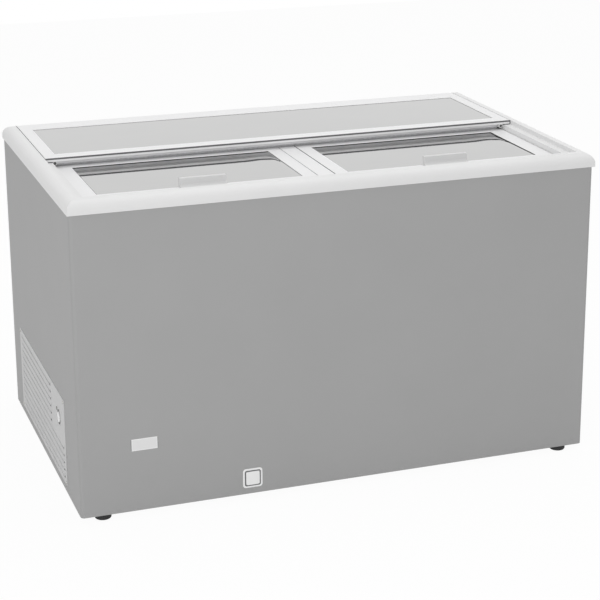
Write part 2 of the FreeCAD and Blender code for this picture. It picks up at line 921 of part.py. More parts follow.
def condenser():
    x0 = condenser_x
    x1 = condenser_x + condenser_depth
    y0 = condenser_y - condenser_width / 2
    y1 = condenser_y + condenser_width / 2
    z0 = z_floor_plate
    z1 = z_floor_plate + condenser_lift + condenser_height
    body = box(x0, x1, y0, y0 + condenser_plate, z0, z1)
    body = body.fuse(box(x0, x1, y1 - condenser_plate, y1, z0, z1))
    step = condenser_width / (fin_count + 1)
    z_fin = z0 + condenser_lift
    for i in range(1, fin_count + 1):
        y = y0 + i * step
        fin = box(x0 + fin_inset, x1 - fin_inset, y - fin_thickness / 2, y + fin_thickness / 2, z_fin, z1)
        body = body.fuse(fin)
    for i in range(condenser_tube_rows):
        z = z_fin + (i + 0.5) * condenser_height / condenser_tube_rows
        body = body.fuse(rod_y(y0, y1, (x0 + x1) / 2, z, condenser_tube_radius))
    return body


fan_y = condenser_y
fan_z = z_floor_plate + condenser_lift + condenser_height / 2
fan_rear = fan_x + fan_hub_length
motor_x = fan_rear + motor_gap


def fan_motor():
    can = rod_x(motor_x, motor_x + motor_length, fan_y, fan_z, motor_radius)
    shaft = rod_x(fan_x, motor_x, fan_y, fan_z, fan_shaft_radius)
    x1 = motor_x + motor_length
    post = box(x1, x1 + motor_bracket_thickness, fan_y - motor_bracket_width / 2,
               fan_y + motor_bracket_width / 2, z_floor_plate, fan_z + motor_radius)
    toe = box(x1 - motor_bracket_width, x1, fan_y - motor_bracket_width / 2,
              fan_y + motor_bracket_width / 2, z_floor_plate, z_floor_plate + motor_bracket_thickness)
    return can.fuse(shaft).fuse(post).fuse(toe).removeSplitter()


def fan_blade():
    fan = rod_x(fan_x, fan_rear, fan_y, fan_z, fan_hub_radius)
    root = fan_hub_radius - fan_blade_root
    blade_half = fan_hub_length / 2 - fan_blade_inset
    for i in range(fan_blades):
        blade = box(-fan_blade_thickness / 2, fan_blade_thickness / 2, -fan_chord / 2, fan_chord / 2,
                    root, fan_radius)
        blade.rotate(V(0, 0, 0), V(0, 0, 1), fan_pitch_deg - 90)
        blade = blade.common(rod_x(-blade_half, blade_half, 0, 0, fan_radius))
        blade.rotate(V(0, 0, 0), V(1, 0, 0), 360.0 * i / fan_blades)
        blade.translate(V((fan_x + fan_rear) / 2, fan_y, fan_z))
        fan = fan.fuse(blade)
    bore = rod_x(fan_x, fan_rear, fan_y, fan_z, fan_shaft_radius + fan_shaft_clearance)
    return fan.cut(bore)


condenser_row_pitch = condenser_height / condenser_tube_rows
z_condenser_in = z_floor_plate + condenser_lift + (condenser_tube_rows - 0.5) * condenser_row_pitch
z_condenser_out = z_floor_plate + condenser_lift + 0.5 * condenser_row_pitch
condenser_row_x = condenser_x + condenser_depth / 2
condenser_end = condenser_y + condenser_width / 2


def discharge_line():
    z = z_compressor_top - compressor_dome - tube_radius
    y_shell = compressor_y - compressor_radius
    x = compressor_x - terminal_offset
    y_run = (y_shell + condenser_end) / 2
    line = tube([(x, compressor_y, z), (x, y_run, z), (condenser_row_x, y_run, z_condenser_in),
                 (condenser_row_x, condenser_end, z_condenser_in)], tube_radius, discharge_bend)
    return line.cut(compressor())


def tube_lines():
    z_turn = z_compartment + line_above_compartment
    x = condenser_row_x + liquid_line_reach
    y = condenser_end + liquid_line_reach
    y_liquid = coil_y + liquid_line_gap
    liquid = tube([(condenser_row_x, condenser_end, z_condenser_out), (condenser_row_x, y, z_condenser_out),
                   (x, y, z_condenser_out), (x, y, z_turn), (x, y_liquid, z_turn),
                   (x, y_liquid, coil_low), (line_join_half, y_liquid, coil_low),
                   (line_join_half, coil_y, coil_low), (coil_gap_half, coil_y, coil_low)],
                  tube_radius, tube_bend)
    y_suction = coil_y + suction_line_gap
    suction = tube([(compressor_x, compressor_y, z_compressor_top), (compressor_x, compressor_y, z_turn),
                    (compressor_x, y_suction, z_turn), (compressor_x, y_suction, coil_high),
                    (-line_join_half, y_suction, coil_high), (-line_join_half, coil_y, coil_high),
                    (-coil_gap_half, coil_y, coil_high)], tube_radius, tube_bend)
    return [liquid, suction]


def cord_gland():
    z = z_base + gland_z
    body = rod_y(half_d - gland_length, half_d, gland_x, z, gland_radius)
    flange = rod_y(half_d, half_d + gland_flange, gland_x, z, gland_flange_radius)
    return body.fuse(flange).cut(rod_y(half_d - gland_length, half_d + gland_flange, gland_x, z, gland_bore))


# Write every piece

def main():
    os.makedirs("parts", exist_ok=True)
    save("front_panel", front_panel())
    save("left_side_panel", left_side_panel())
    save("right_side_panel", side_panel(1))
    save("rear_sheet", rear_sheet())
    save("base_plate", base_plate())
    for name, (x, y) in foot_places().items():
        save("foot_" + name, foot(x, y))
    save("foot_screws", [foot_screw(x, y) for x, y in foot_places().values()])
    for name, shape in collar_parts().items():
        save(name, shape)
    for side, word in ((-1, "left"), (1, "right")):
        save("runner_" + word, runner(side))
        save(word + "_lid_frame", lid_frame(side))
        save(word + "_lid_skin", lid_skin_sheet(side))
        save(word + "_lid_core", lid_core(side))
        save(word + "_lid_underside", lid_underside_sheet(side))
        save(word + "_lid_handle", lid_handle(side))
        save(word + "_lid_glides", lid_glides(side))
    save("mouth_sills", mouth_sills())
    save("centre_rail", centre_rail())
    save("cross_rail", cross_rail())
    save("rail_brush", rail_brush())
    save("rail_brackets", [rail_bracket(-1), rail_bracket(1)])
    save("cover_frame", cover_frame())
    save("cover_skin", cover_skin())
    save("cover_core", cover_core())
    save("cover_underside", cover_underside())
    save("cover_gasket", cover_gasket())
    save("tank_liner", tank_liner())
    save("insulation_foam", insulation_foam())
    save("compartment_wall", compartment_wall())
    save("drain_pipe", drain_pipe())
    save("drain_strainer", drain_strainer())
    save("drain_bezel", drain_bezel())
    save("drain_cap", drain_cap())
    save("badge_plate", badge())
    save("side_grille", side_grille())
    save("grille_screws", grille_screws())
    save("thermostat_body", thermostat_body())
    save("thermostat_knob", thermostat_knob())
    save("pilot_lamp", pilot_lamp())
    save("compressor", compressor())
    save("compressor_grommets", compressor_grommets())
    save("terminal_box", terminal_box())
    save("condenser", condenser())
    save("fan_motor", fan_motor())
    save("fan_blade", fan_blade())
    save("evaporator_coil", evaporator_coil())
    save("refrigerant_lines", [discharge_line()] + tube_lines())
    save("cord_gland", cord_gland())


main()
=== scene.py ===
import math
import random

import bpy
from mathutils import Euler, Matrix, Vector


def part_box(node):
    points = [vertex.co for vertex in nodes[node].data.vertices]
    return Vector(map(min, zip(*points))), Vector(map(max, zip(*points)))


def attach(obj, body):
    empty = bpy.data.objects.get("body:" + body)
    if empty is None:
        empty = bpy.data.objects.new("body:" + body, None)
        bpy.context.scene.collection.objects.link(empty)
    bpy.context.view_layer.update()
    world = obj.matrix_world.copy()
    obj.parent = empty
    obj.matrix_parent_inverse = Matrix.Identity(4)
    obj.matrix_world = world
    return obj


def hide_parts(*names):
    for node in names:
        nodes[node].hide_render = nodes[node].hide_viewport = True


# Looks for a chest refrigerator with two sliding lids. Metres, X right, Y to the rear, Z up.
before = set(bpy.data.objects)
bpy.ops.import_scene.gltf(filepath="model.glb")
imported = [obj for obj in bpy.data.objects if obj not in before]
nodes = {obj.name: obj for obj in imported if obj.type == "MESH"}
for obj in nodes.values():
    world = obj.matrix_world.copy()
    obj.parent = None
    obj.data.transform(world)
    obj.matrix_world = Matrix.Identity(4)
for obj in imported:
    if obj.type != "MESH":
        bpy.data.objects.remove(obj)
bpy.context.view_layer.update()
mm = 0.001
towards = 0.5     # least share of a face's normal that counts as looking one way
straight = 0.9    # and as looking straight that way
manySides = 12    # a face with more corners than this is a cylinder's end
print("frame loaded,", len(nodes), "nodes")


# Small helpers

def srgb(code):  # sRGB hex to the linear values that the sockets take
    channels = [int(code[i:i + 2], 16) / 255 for i in (1, 3, 5)]
    return tuple(c / 12.92 if c <= 0.04045 else ((c + 0.055) / 1.055) ** 2.4 for c in channels) + (1.0,)


def addNode(owner, kind, inputs=None, **settings):
    node = owner.node_tree.nodes.new(kind)
    for key, value in settings.items():
        setattr(node, key, value)
    for socket, value in (inputs or {}).items():
        if isinstance(value, bpy.types.NodeSocket):
            owner.node_tree.links.new(value, node.inputs[socket])
        else:
            node.inputs[socket].default_value = value
    return node


def startMaterial(name):
    material = bpy.data.materials.new(name)
    material.use_nodes = True
    material.node_tree.nodes.clear()
    return material


def endMaterial(material, shader):
    addNode(material, "ShaderNodeOutputMaterial", {"Surface": shader.outputs[0]})
    return material


def applyModifiers(obj):
    bpy.context.view_layer.objects.active = obj
    for modifier in list(obj.modifiers):
        bpy.ops.object.modifier_apply(modifier=modifier.name)


def smooth(obj, angle=35):
    bpy.ops.object.select_all(action="DESELECT")
    obj.select_set(True)
    bpy.context.view_layer.objects.active = obj
    bpy.ops.object.shade_smooth_by_angle(angle=math.radians(angle))


def evenNormals(obj):  # large flats keep their own normal beside a narrow bevel
    weights = obj.modifiers.new("Weights", "WEIGHTED_NORMAL")
    weights.keep_sharp = True
    applyModifiers(obj)


def bevel(obj, width, segments=2, angle=30):
    modifier = obj.modifiers.new("Bevel", "BEVEL")
    modifier.width = width
    modifier.segments = segments
    modifier.limit_method = "ANGLE"
    modifier.angle_limit = math.radians(angle)
    applyModifiers(obj)
    smooth(obj)
    evenNormals(obj)


def middle(low, high):
    return Vector([(a + b) / 2 for a, b in zip(low, high)])


def addBox(low, high):
    bpy.ops.object.select_all(action="DESELECT")
    bpy.ops.mesh.primitive_cube_add(size=1, location=middle(low, high))
    box = bpy.context.object
    box.scale = [b - a for a, b in zip(low, high)]
    bpy.ops.object.transform_apply(location=True, rotation=True, scale=True)
    return box


def addCylinder(centre, radius, depth, sides, turn=(0, 0, 0)):
    bpy.ops.object.select_all(action="DESELECT")
    bpy.ops.mesh.primitive_cylinder_add(vertices=sides, radius=radius, depth=depth, location=centre,
                                        rotation=turn)
    cylinder = bpy.context.object
    bpy.ops.object.transform_apply(location=True, rotation=True, scale=True)
    return cylinder


def clearSelection(obj, kind):
    bpy.context.view_layer.objects.active = obj
    bpy.ops.object.mode_set(mode="EDIT")
    bpy.ops.mesh.select_mode(type=kind)
    bpy.ops.mesh.select_all(action="DESELECT")
    bpy.ops.object.mode_set(mode="OBJECT")


def selectFaces(obj, test):
    clearSelection(obj, "FACE")
    for polygon in obj.data.polygons:
        polygon.select = test(polygon)
    bpy.ops.object.mode_set(mode="EDIT")


def selectEdges(obj, test):
    clearSelection(obj, "EDGE")
    for edge in obj.data.edges:
        ends = [obj.data.vertices[i].co for i in edge.vertices]
        edge.select = test(ends[1] - ends[0])
    bpy.ops.object.mode_set(mode="EDIT")


def endEdit():
    bpy.ops.object.mode_set(mode="OBJECT")


def joinPieces(pieces):
    bpy.ops.object.select_all(action="DESELECT")
    for piece in pieces:
        piece.select_set(True)
    bpy.context.view_layer.objects.active = pieces[0]
    bpy.ops.object.join()
    return bpy.context.object


def finishPiece(obj, name, material, body, replaced=()):
    obj.name = name
    obj.data.name = name
    obj.data.materials.clear()
    obj.data.materials.append(material)
    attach(obj, body)
    if replaced:
        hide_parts(*replaced)
    return obj


# Materials. Sizes of patterns in millimetres, heights of relief in millimetres too.

grainDetail = 2.0
mottleDetail = 3.0


def makeFinish(name, look):
    material = startMaterial(name)
    place = addNode(material, "ShaderNodeTexCoord")
    stretch = [1000 / size for size in look["grainMm"]]
    grainPlace = addNode(material, "ShaderNodeMapping",
                         {"Vector": place.outputs["Object"], "Scale": stretch})
    grain = addNode(material, "ShaderNodeTexNoise",
                    {"Vector": grainPlace.outputs[0], "Scale": 1.0, "Detail": grainDetail})
    mottle = addNode(material, "ShaderNodeTexNoise",
                     {"Vector": place.outputs["Object"], "Scale": 1000 / look["mottleMm"],
                      "Detail": mottleDetail})
    colour = addNode(material, "ShaderNodeMix",
                     {0: mottle.outputs[0], 6: srgb(look["dark"]), 7: srgb(look["pale"])}, data_type="RGBA")
    low, high = look["roughness"]
    roughness = addNode(material, "ShaderNodeMapRange", {0: grain.outputs[0], 3: low, 4: high})
    relief = addNode(material, "ShaderNodeBump",
                     {"Height": grain.outputs[0], "Distance": look["reliefMm"] * mm, "Strength": 1.0})
    shader = addNode(material, "ShaderNodeBsdfPrincipled",
                     {"Base Color": colour.outputs[2], "Roughness": roughness.outputs[0],
                      "Normal": relief.outputs[0], "Metallic": look.get("metallic", 0.0)})
    for socket, value in look.get("sockets", {}).items():
        shader.inputs[socket].default_value = value
    return endMaterial(material, shader)


def makeSpangle(name, look):  # hot-dip zinc: flat crystals, each with its own grey and gloss
    material = startMaterial(name)
    place = addNode(material, "ShaderNodeTexCoord")
    crystals = addNode(material, "ShaderNodeTexVoronoi",
                       {"Vector": place.outputs["Object"], "Scale": 1000 / look["crystalMm"]})
    shade = addNode(material, "ShaderNodeSeparateColor", {0: crystals.outputs["Color"]})
    colour = addNode(material, "ShaderNodeMix",
                     {0: shade.outputs[0], 6: srgb(look["dark"]), 7: srgb(look["pale"])}, data_type="RGBA")
    low, high = look["roughness"]
    roughness = addNode(material, "ShaderNodeMapRange", {0: shade.outputs[1], 3: low, 4: high})
    shader = addNode(material, "ShaderNodeBsdfPrincipled",
                     {"Base Color": colour.outputs[2], "Roughness": roughness.outputs[0], "Metallic": 1.0})
    return endMaterial(material, shader)


def makeFoam(name, look):  # rigid polyurethane: closed cells, cut open at the skin
    material = startMaterial(name)
    place = addNode(material, "ShaderNodeTexCoord")
    cells = addNode(material, "ShaderNodeTexVoronoi",
                    {"Vector": place.outputs["Object"], "Scale": 1000 / look["cellMm"]})
    colour = addNode(material, "ShaderNodeMix",
                     {0: cells.outputs["Distance"], 6: srgb(look["dark"]), 7: srgb(look["pale"])},
                     data_type="RGBA")
    relief = addNode(material, "ShaderNodeBump",
                     {"Height": cells.outputs["Distance"], "Distance": look["reliefMm"] * mm,
                      "Strength": 1.0})
    shader = addNode(material, "ShaderNodeBsdfPrincipled",
                     {"Base Color": colour.outputs[2], "Roughness": look["roughness"],
                      "Normal": relief.outputs[0]})
    return endMaterial(material, shader)


looks = {
    # coil-coated steel sheet: satin grey, faint orange peel from the roller
    "coilCoatedSteel": {"pale": "#AEAEAE", "dark": "#AAAAAA", "mottleMm": 180, "grainMm": (3, 3, 3),
                        "reliefMm": 0.006, "roughness": (0.42, 0.5),
                        "sockets": {"Specular IOR Level": 0.12}},
    # ABS of collar, runners and brackets: milky white, soft gloss, very fine texture
    "whiteAbs": {"pale": "#ECECEC", "dark": "#E8E8E8", "mottleMm": 90, "grainMm": (1.2, 1.2, 1.2),
                 "reliefMm": 0.004, "roughness": (0.3, 0.38), "sockets": {"Specular IOR Level": 0.15}},
    # moulded handles: satin, a little greyer than the collar; the grey is painted shade for their upright
    # faces
    "handleAbsPaintedShade": {"pale": "#DEDEDE", "dark": "#DADADA", "mottleMm": 30, "grainMm": (0.9, 0.9, 0.9),
                 "reliefMm": 0.01, "roughness": (0.4, 0.5), "sockets": {"Specular IOR Level": 0.2}},
    # extruded rigid PVC frames: white, drawn lines along the length show as faint streaks
    "whitePvc": {"pale": "#F2F2F2", "dark": "#EDEDEE", "mottleMm": 60, "grainMm": (50, 1.5, 1.5),
                 "reliefMm": 0.004, "roughness": (0.34, 0.44)},
    # bright-annealed stainless skin: a mirror with rolling grain along X, drawn 1.2 mm wide so that it shows
    "stainlessSkin": {"pale": "#BCBCBB", "dark": "#B7B7B7", "mottleMm": 140, "grainMm": (90, 1.2, 1.2),
                      "reliefMm": 0.0003, "roughness": (0.03, 0.05), "metallic": 1.0},
    # brushed stainless tank: satin lines along X
    "tankSteel": {"pale": "#CECECC", "dark": "#C4C4C3", "mottleMm": 120, "grainMm": (120, 1.5, 1.5),
                  "reliefMm": 0.002, "roughness": (0.25, 0.4), "metallic": 1.0},
    # matt anodised aluminium profile: pale grey, die lines along X
    "drawnAluminium": {"pale": "#E2E2E3", "dark": "#CFCFD1", "mottleMm": 25, "grainMm": (60, 0.8, 0.8),
                       "reliefMm": 0.004, "roughness": (0.4, 0.55), "metallic": 0.5},
    # condenser fins: thin rolled aluminium, a little dull
    "finAluminium": {"pale": "#C2C3C5", "dark": "#A9AAAC", "mottleMm": 30, "grainMm": (2, 2, 40),
                     "reliefMm": 0.01, "roughness": (0.35, 0.5), "metallic": 1.0},
    # EPDM rubber: matt black with a greyish bloom
    "blackRubber": {"pale": "#2A2A2B", "dark": "#1C1C1D", "mottleMm": 12, "grainMm": (0.8, 0.8, 0.8),
                    "reliefMm": 0.02, "roughness": (0.6, 0.75)},
    # grey rubber, matt: the seal before the rear cover; also the ring round the drain cap and the pad behind
    # the plate, whose grey paints the shade of the cap's groove and of the plate's edge
    "greyRubber": {"pale": "#6E6E70", "dark": "#606062", "mottleMm": 12, "grainMm": (0.8, 0.8, 0.8),
                   "reliefMm": 0.02, "roughness": (0.6, 0.75)},
    # nylon bristles: pale grey, semi-matt; the dark of the mottle is painted shade between the tufts
    "nylonBristleAndShade": {"pale": "#DADADC", "dark": "#9C9C9E", "mottleMm": 7, "grainMm": (0.6, 0.6, 8),
                     "reliefMm": 0.02, "roughness": (0.5, 0.65)},
    # glass-filled nylon: fan, motor and terminal box
    "blackNylon": {"pale": "#232324", "dark": "#18181A", "mottleMm": 20, "grainMm": (1, 1, 1),
                   "reliefMm": 0.015, "roughness": (0.4, 0.55)},
    # stoved enamel on the compressor shell: glossy black over the drawn steel
    "blackEnamel": {"pale": "#19191B", "dark": "#111112", "mottleMm": 40, "grainMm": (4, 4, 4),
                    "reliefMm": 0.02, "roughness": (0.22, 0.34), "sockets": {"Coat Weight": 0.4}},
    # drawn copper tube, dulled by handling
    "copperTube": {"pale": "#C88A66", "dark": "#9C5F42", "mottleMm": 25, "grainMm": (3, 3, 3),
                   "reliefMm": 0.008, "roughness": (0.25, 0.45), "metallic": 1.0},
    # moulded ABS grille, a shade paler than the steel, with spark-eroded texture
    "greyAbs": {"pale": "#D8D8D8", "dark": "#D4D4D4", "mottleMm": 60, "grainMm": (0.9, 0.9, 0.9),
                "reliefMm": 0.015, "roughness": (0.45, 0.55), "sockets": {"Specular IOR Level": 0.12}},
    # polished ABS dial
    "dialAbs": {"pale": "#F2F2F2", "dark": "#EEEEEE", "mottleMm": 20, "grainMm": (1, 1, 1),
                "reliefMm": 0.004, "roughness": (0.18, 0.26)},
    # white moulded drain bezel, cap and plate: the gloss of a polished mould
    "glossyAbs": {"pale": "#FAFAFA", "dark": "#F6F6F6", "mottleMm": 20, "grainMm": (1.5, 1.5, 1.5),
                  "reliefMm": 0.003, "roughness": (0.18, 0.26), "sockets": {"Coat Weight": 0.5}},
    # smoked lamp lens
    "smokedLens": {"pale": "#6C7068", "dark": "#5A5E57", "mottleMm": 8, "grainMm": (1, 1, 1),
                   "reliefMm": 0.002, "roughness": (0.05, 0.1)},
    # zinc-plated screws
    "zincScrew": {"pale": "#C9C9C4", "dark": "#ADADA9", "mottleMm": 3, "grainMm": (0.5, 0.5, 0.5),
                  "reliefMm": 0.01, "roughness": (0.25, 0.4), "metallic": 1.0},
    # natural nylon glides and drain pipe: milky, waxy
    "whiteNylon": {"pale": "#E9E8E2", "dark": "#E2E1DA", "mottleMm": 30, "grainMm": (1.5, 1.5, 1.5),
                   "reliefMm": 0.006, "roughness": (0.35, 0.45)},
}
finish = {name: makeFinish(name, look) for name, look in looks.items()}
finish["zincSheet"] = makeSpangle("zincSheet", {"pale": "#C4C6C8", "dark": "#A4A7AA", "crystalMm": 14,
                                                "roughness": (0.3, 0.5)})
finish["urethaneFoam"] = makeFoam("urethaneFoam", {"pale": "#E8D9A2", "dark": "#CDB878", "cellMm": 1.8,
                                                   "reliefMm": 0.3, "roughness": 0.85})
print("materials made,", len(finish))

# The finish of each CAD node that stays
nodeFinish = {
    "zincSheet": ["rear_sheet", "base_plate", "compartment_wall"],
    "whiteAbs": ["runner_left", "runner_right", "mouth_sills"],
    "blackRubber": ["foot_front_left", "foot_front_right", "foot_rear_left", "foot_rear_right",
                    "compressor_grommets", "cord_gland"],
    "greyRubber": ["cover_gasket"],
    "tankSteel": ["tank_liner", "cover_underside", "left_lid_underside", "right_lid_underside",
                  "drain_strainer"],
    "urethaneFoam": ["insulation_foam", "cover_core", "left_lid_core", "right_lid_core"],
    "whiteNylon": ["left_lid_glides", "right_lid_glides", "drain_pipe"],
    "greyAbs": ["side_grille"],
    "blackNylon": ["thermostat_body", "terminal_box", "fan_motor", "fan_blade"],
    "blackEnamel": ["compressor"],
    "copperTube": ["evaporator_coil", "refrigerant_lines"],
    "finAluminium": ["condenser"],
    "zincScrew": ["foot_screws"],
}
for name, group in nodeFinish.items():
    for node in group:
        nodes[node].data.materials.clear()
        nodes[node].data.materials.append(finish[name])
print("CAD nodes dressed")


# Panels, collar, frames, handles and rails: the CAD shapes with their real edge radii in millimetres

softened = {
    "leftLidFrame": ("left_lid_frame", "left_lid", "whitePvc", "frame_white", 0.8),
    "rightLidFrame": ("right_lid_frame", "right_lid", "whitePvc", "frame_white", 0.8),
    # the handles take the greyed ABS, its grey painted shade
    "leftLidHandle": ("left_lid_handle", "left_lid", "handleAbsPaintedShade", "frame_white", 1.6),
    "rightLidHandle": ("right_lid_handle", "right_lid", "handleAbsPaintedShade", "frame_white", 1.6),
    "coverFrame": ("cover_frame", "cabinet", "whitePvc", "frame_white", 0.8),
    "centreRail": ("centre_rail", "cabinet", "whitePvc", "frame_white", 0.8),
    "railBrackets": ("rail_brackets", "cabinet", "whiteAbs", "frame_white", 0.5),
    "drainBezel": ("drain_bezel", "cabinet", "glossyAbs", "frame_white", 0.7),
    "drainCap": ("drain_cap", "drain_plug", "glossyAbs", "frame_white", 0.8),
    "frontPanel": ("front_panel", "cabinet", "coilCoatedSteel", "cabinet_paint", 0.6),
    "leftSidePanel": ("left_side_panel", "cabinet", "coilCoatedSteel", "cabinet_paint", 0.6),
    "rightSidePanel": ("right_side_panel", "cabinet", "coilCoatedSteel", "cabinet_paint", 0.6),
    "collarFront": ("collar_front", "cabinet", "whiteAbs", "rim_white", 0.5),
    "collarRear": ("collar_rear", "cabinet", "whiteAbs", "rim_white", 0.5),
    "collarLeft": ("collar_left", "cabinet", "whiteAbs", "rim_white", 0.5),
    "collarRight": ("collar_right", "cabinet", "whiteAbs", "rim_white", 0.5),
}


soften = {"weld": 0.01 * mm, "flatWithin": 0.2, "steps": 3, "angle": 40}  # angles in degrees


def softenCopy(name, node, body, finishName, radius):
    bpy.ops.object.select_all(action="DESELECT")
    piece = nodes[node].copy()
    piece.data = nodes[node].data.copy()
    piece.parent = None
    for key in list(piece.keys()):
        del piece[key]
    bpy.context.scene.collection.objects.link(piece)
    piece.select_set(True)
    bpy.context.view_layer.objects.active = piece
    bpy.ops.mesh.customdata_custom_splitnormals_clear()
    bpy.ops.object.mode_set(mode="EDIT")
    bpy.ops.mesh.select_all(action="SELECT")
    bpy.ops.mesh.remove_doubles(threshold=soften["weld"])
    bpy.ops.mesh.dissolve_limited(angle_limit=math.radians(soften["flatWithin"]))
    bpy.ops.object.mode_set(mode="OBJECT")
    bevel(piece, radius * mm, segments=soften["steps"], angle=soften["angle"])
    return finishPiece(piece, name, finish[finishName], body, [node])


for name, (node, body, finishName, slot, radius) in softened.items():
    softenCopy(name, node, body, finishName, radius)
print("shapes softened,", len(softened))


# Stainless skins of the lids: a thin sheet that ripples a little beside its right end

lidSkin = {
    "cells": (180, 90),
    "lip": 3.7 * mm,       # hidden under the frame's lip
    "dip": 0.022,          # slope of the hollow, radians
    "dipPlace": 35 * mm,   # its middle, from the window's right edge
    "dipWidth": 30 * mm,
    "curl": 0.04,          # slope of the upturned end
    "curlWidth": 7 * mm,
    "fade": 55 * mm,       # how fast both die out towards the front
    "thickness": 1.0 * mm,
}


def makeLidSkin(side):
    look = lidSkin
    node = side + "_lid_skin"
    low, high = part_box(node)
    bpy.ops.object.select_all(action="DESELECT")
    bpy.ops.mesh.primitive_grid_add(x_subdivisions=look["cells"][0], y_subdivisions=look["cells"][1], size=1,
                                    location=((low.x + high.x) / 2, (low.y + high.y) / 2, high.z))
    sheet = bpy.context.object
    sheet.scale = (high.x - low.x, high.y - low.y, 1)
    bpy.ops.object.transform_apply(location=True, rotation=True, scale=True)
    for vertex in sheet.data.vertices:
        fromRight = max(0.0, high.x - look["lip"] - vertex.co.x)
        fromRear = max(0.0, high.y - look["lip"] - vertex.co.y)
        hollow = look["dip"] * math.exp(-((fromRight - look["dipPlace"]) / look["dipWidth"]) ** 2)
        upturn = look["curl"] * math.exp(-(fromRight / look["curlWidth"]) ** 2)
        vertex.co.z += (hollow - upturn) * fromRear * math.exp(-fromRear / look["fade"])
    thickness = sheet.modifiers.new("Thickness", "SOLIDIFY")
    thickness.thickness = look["thickness"]
    thickness.offset = -1
    applyModifiers(sheet)
    smooth(sheet)
    return finishPiece(sheet, side + "LidSkin", finish["stainlessSkin"], side + "_lid",
                       [node])


# Black glazing bead at the rear and the outer side of each lid's window, and a black strip on the inner edge
# that paints the shade of the gap beside the centre rail

bead = {"thickness": 0.5 * mm, "lip": 3.7 * mm, "height": 1.2 * mm}
lidGapShade = {"width": 1.4 * mm, "below": {"left": 3.5 * mm, "right": 0.2 * mm}, "height": 9 * mm,
           "edge": 0.4 * mm}


def makeBead(side):
    low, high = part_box(side + "_lid_skin")
    x0, x1 = low.x + bead["lip"], high.x - bead["lip"]
    y0, y1 = low.y + bead["lip"], high.y - bead["lip"]
    step = y1 - bead["thickness"]
    outer = (x0, x0 + bead["thickness"]) if side == "left" else (x1 - bead["thickness"], x1)
    rear = addBox((x0, step, high.z), (x1, y1, high.z + bead["height"]))
    strip = addBox((outer[0], y0, high.z), (outer[1], step, high.z + bead["height"]))
    whole = joinPieces([rear, strip])
    return finishPiece(whole, side + "LidBead", finish["blackRubber"], side + "_lid")


# painted shade: the strip sits just under the top on the right lid and sunk on the left, so the right gap
# shows dark and the left one stays lighter
def makeLidGapShade(side):
    sign = -1 if side == "left" else 1
    low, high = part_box(side + "_lid_frame")
    inner = low.x if sign > 0 else high.x
    x0, x1 = sorted((inner, inner - sign * lidGapShade["width"]))
    top = high.z - lidGapShade["below"][side]
    strip = addBox((x0, low.y, top - lidGapShade["height"]), (x1, high.y, top))
    bevel(strip, lidGapShade["edge"])
    return finishPiece(strip, side + "LidGapShade", finish["blackRubber"], side + "_lid")


for side in ("left", "right"):
    makeLidSkin(side)
    makeBead(side)
    makeLidGapShade(side)
print("lids dressed")


# Fixed skin of the rear cover

coverSkinEdge = 0.3 * mm


def makeCoverSkin():
    low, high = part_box("cover_skin")
    sheet = addBox(low, high)
    bevel(sheet, coverSkinEdge)
    return finishPiece(sheet, "coverSkin", finish["stainlessSkin"], "cabinet",
                       ["cover_skin"])


makeCoverSkin()


# Dark strips in the gap between the rear cover and the rim, left and right: painted shade for the gap's dark
# line

rimGapShade = {"gap": 2 * mm, "top": 1.5 * mm, "depth": 10 * mm}


# painted shade: black strips fill the gap beside the rear cover where its shadow line falls
def makeRimGapShade():
    coverLow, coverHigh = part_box("cover_frame")
    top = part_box("collar_front")[1].z - rimGapShade["top"]
    pieces = []
    for sign in (-1, 1):
        edge = coverHigh.x if sign > 0 else coverLow.x
        x0, x1 = sorted((edge, edge + sign * rimGapShade["gap"]))
        pieces.append(addBox((x0, coverLow.y, top - rimGapShade["depth"]), (x1, coverHigh.y, top)))
    whole = joinPieces(pieces)
    return finishPiece(whole, "rimGapShade", finish["blackRubber"], "cabinet")


makeRimGapShade()


# Cross rail: white nose strip, aluminium web with a rib along each edge, and the brush below it

rail = {"nose": 0.5 * mm, "noseSteps": 4, "stripThickness": 5.4 * mm, "webThickness": 4.0 * mm,
        "rib": 1.6 * mm, "ribDepth": 0.6 * mm, "edge": 0.3 * mm}
brush = {"pitch": 2.6 * mm, "root": 1.3 * mm, "tip": 0.9 * mm, "sides": 6, "lean": 0.5 * mm,
         "holder": 2.2 * mm, "edge": 0.4 * mm, "row": 24, "seed": 7}


def makeRailStrip():
    low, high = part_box("cross_rail")
    strip = addBox((low.x, low.y, high.z - rail["stripThickness"]), high)
    bevel(strip, rail["nose"], segments=rail["noseSteps"])
    return finishPiece(strip, "railStrip", finish["whitePvc"], "cabinet", ["cross_rail"])


def makeRailWeb():
    low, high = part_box("cross_rail")
    brushLow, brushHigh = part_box("rail_brush")
    web = addBox((brushLow.x, high.y - rail["webThickness"], low.z),
                 (brushHigh.x, high.y, high.z - rail["stripThickness"]))
    selectFaces(web, lambda face: face.normal.y < -towards)
    bpy.ops.mesh.inset(thickness=rail["rib"], depth=-rail["ribDepth"])
    endEdit()
    bevel(web, rail["edge"])
    return finishPiece(web, "railWeb", finish["drawnAluminium"], "cabinet", ["cross_rail"])


def makeTuft(place, depth, lean):
    bpy.ops.object.select_all(action="DESELECT")
    bpy.ops.mesh.primitive_cone_add(vertices=brush["sides"], radius1=brush["tip"], radius2=brush["root"],
                                    depth=depth, location=place)
    tuft = bpy.context.object
    bpy.ops.object.transform_apply(location=True, rotation=True, scale=True)
    selectFaces(tuft, lambda face: face.normal.z < -straight)
    bpy.ops.transform.translate(value=(lean[0], lean[1], 0))
    endEdit()
    return tuft


